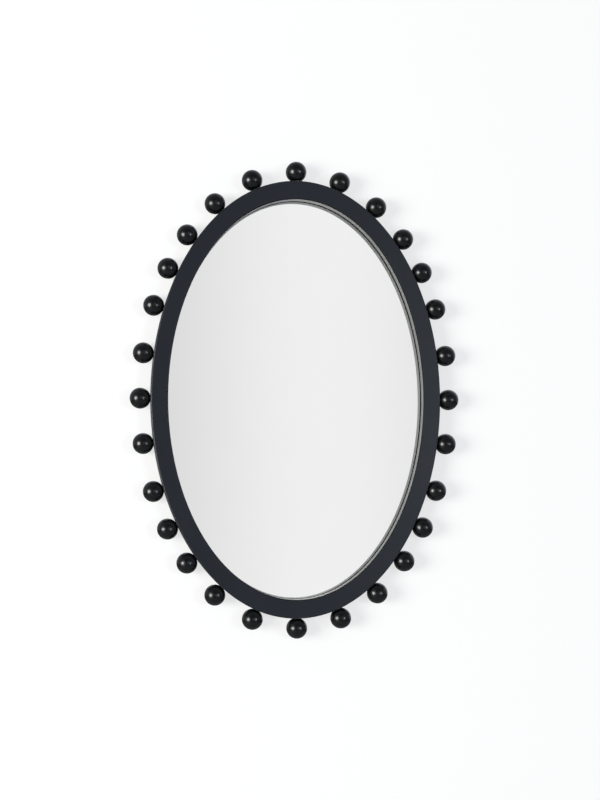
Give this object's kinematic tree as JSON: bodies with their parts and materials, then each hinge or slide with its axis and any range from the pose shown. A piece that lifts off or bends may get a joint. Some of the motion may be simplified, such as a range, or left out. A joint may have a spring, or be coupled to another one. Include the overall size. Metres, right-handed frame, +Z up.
{
  "type": "oval wall mirror",
  "caption": "Upright oval wall mirror: a flat dark ring frame with a recessed glass and round balls set all around its outer edge; D-rings at the back hang it.",
  "frame": {"origin": "centre of the oval on the wall plane that the rear bumpers rest on", "axes": "+Z up, +Y into the wall, +X to the right as seen from the front"},
  "size_m": [0.464, 0.0305, 0.666],
  "materials": {
    "frame_paint": "matt blue-black paint on fibreboard",
    "ball_lacquer": "satin black lacquer on turned wood",
    "silvered_glass": "clear float glass silvered behind",
    "hardboard": "brown hardboard",
    "raw_beech": "unfinished beech",
    "zinc_plate": "zinc-plated sheet steel",
    "zinc_wire": "zinc-plated steel wire",
    "zinc_screw": "zinc-plated steel screw",
    "bumper_rubber": "matt black rubber"
  },
  "bodies": {
    "mirror": {"frame_ring": "frame_paint", "mirror_glass": "silvered_glass", "backboard": "hardboard", "ball_01": "ball_lacquer", "ball_02": "ball_lacquer", "ball_03": "ball_lacquer", "ball_04": "ball_lacquer", "ball_05": "ball_lacquer", "ball_06": "ball_lacquer", "ball_07": "ball_lacquer", "ball_08": "ball_lacquer", "ball_09": "ball_lacquer", "ball_10": "ball_lacquer", "ball_11": "ball_lacquer", "ball_12": "ball_lacquer", "ball_13": "ball_lacquer", "ball_14": "ball_lacquer", "ball_15": "ball_lacquer", "ball_16": "ball_lacquer", "ball_17": "ball_lacquer", "ball_18": "ball_lacquer", "ball_19": "ball_lacquer", "ball_20": "ball_lacquer", "ball_21": "ball_lacquer", "ball_22": "ball_lacquer", "ball_23": "ball_lacquer", "ball_24": "ball_lacquer", "ball_25": "ball_lacquer", "ball_26": "ball_lacquer", "ball_27": "ball_lacquer", "ball_28": "ball_lacquer", "ball_dowels": "raw_beech", "turn_button_screws": "zinc_screw", "hanger_strap_left": "zinc_plate", "hanger_strap_right": "zinc_plate", "hanger_screws": "zinc_screw", "bumper_left": "bumper_rubber", "bumper_right": "bumper_rubber"},
    "turn_button_1": {"turn_button_1": "zinc_plate"},
    "turn_button_2": {"turn_button_2": "zinc_plate"},
    "turn_button_3": {"turn_button_3": "zinc_plate"},
    "turn_button_4": {"turn_button_4": "zinc_plate"},
    "turn_button_5": {"turn_button_5": "zinc_plate"},
    "turn_button_6": {"turn_button_6": "zinc_plate"},
    "turn_button_7": {"turn_button_7": "zinc_plate"},
    "turn_button_8": {"turn_button_8": "zinc_plate"},
    "hanger_ring_left": {"hanger_ring_left": "zinc_wire"},
    "hanger_ring_right": {"hanger_ring_right": "zinc_wire"}
  },
  "joints": [
    {"name": "turn_button_1_turn", "type": "hinge", "parent": "mirror", "child": "turn_button_1", "pos_m": [0.07772, -0.006, 0.27192], "axis": [0, 1, 0], "continuous": true},
    {"name": "turn_button_2_turn", "type": "hinge", "parent": "mirror", "child": "turn_button_2", "pos_m": [0.18618, -0.006, 0.09026], "axis": [0, 1, 0], "continuous": true},
    {"name": "turn_button_3_turn", "type": "hinge", "parent": "mirror", "child": "turn_button_3", "pos_m": [0.18618, -0.006, -0.09026], "axis": [0, 1, 0], "continuous": true},
    {"name": "turn_button_4_turn", "type": "hinge", "parent": "mirror", "child": "turn_button_4", "pos_m": [0.07772, -0.006, -0.27192], "axis": [0, 1, 0], "continuous": true},
    {"name": "turn_button_5_turn", "type": "hinge", "parent": "mirror", "child": "turn_button_5", "pos_m": [-0.07772, -0.006, -0.27192], "axis": [0, 1, 0], "continuous": true},
    {"name": "turn_button_6_turn", "type": "hinge", "parent": "mirror", "child": "turn_button_6", "pos_m": [-0.18618, -0.006, -0.09026], "axis": [0, 1, 0], "continuous": true},
    {"name": "turn_button_7_turn", "type": "hinge", "parent": "mirror", "child": "turn_button_7", "pos_m": [-0.18618, -0.006, 0.09026], "axis": [0, 1, 0], "continuous": true},
    {"name": "turn_button_8_turn", "type": "hinge", "parent": "mirror", "child": "turn_button_8", "pos_m": [-0.07772, -0.006, 0.27192], "axis": [0, 1, 0], "continuous": true},
    {"name": "hanger_ring_left_swing", "type": "hinge", "parent": "mirror", "child": "hanger_ring_left", "pos_m": [-0.16301, -0.00374, 0.14613], "axis": [0, 0, 1], "range_deg": [0, 170]},
    {"name": "hanger_ring_right_swing", "type": "hinge", "parent": "mirror", "child": "hanger_ring_right", "pos_m": [0.16301, -0.00374, 0.14613], "axis": [0, 0, -1], "range_deg": [0, 170]}
  ]
}
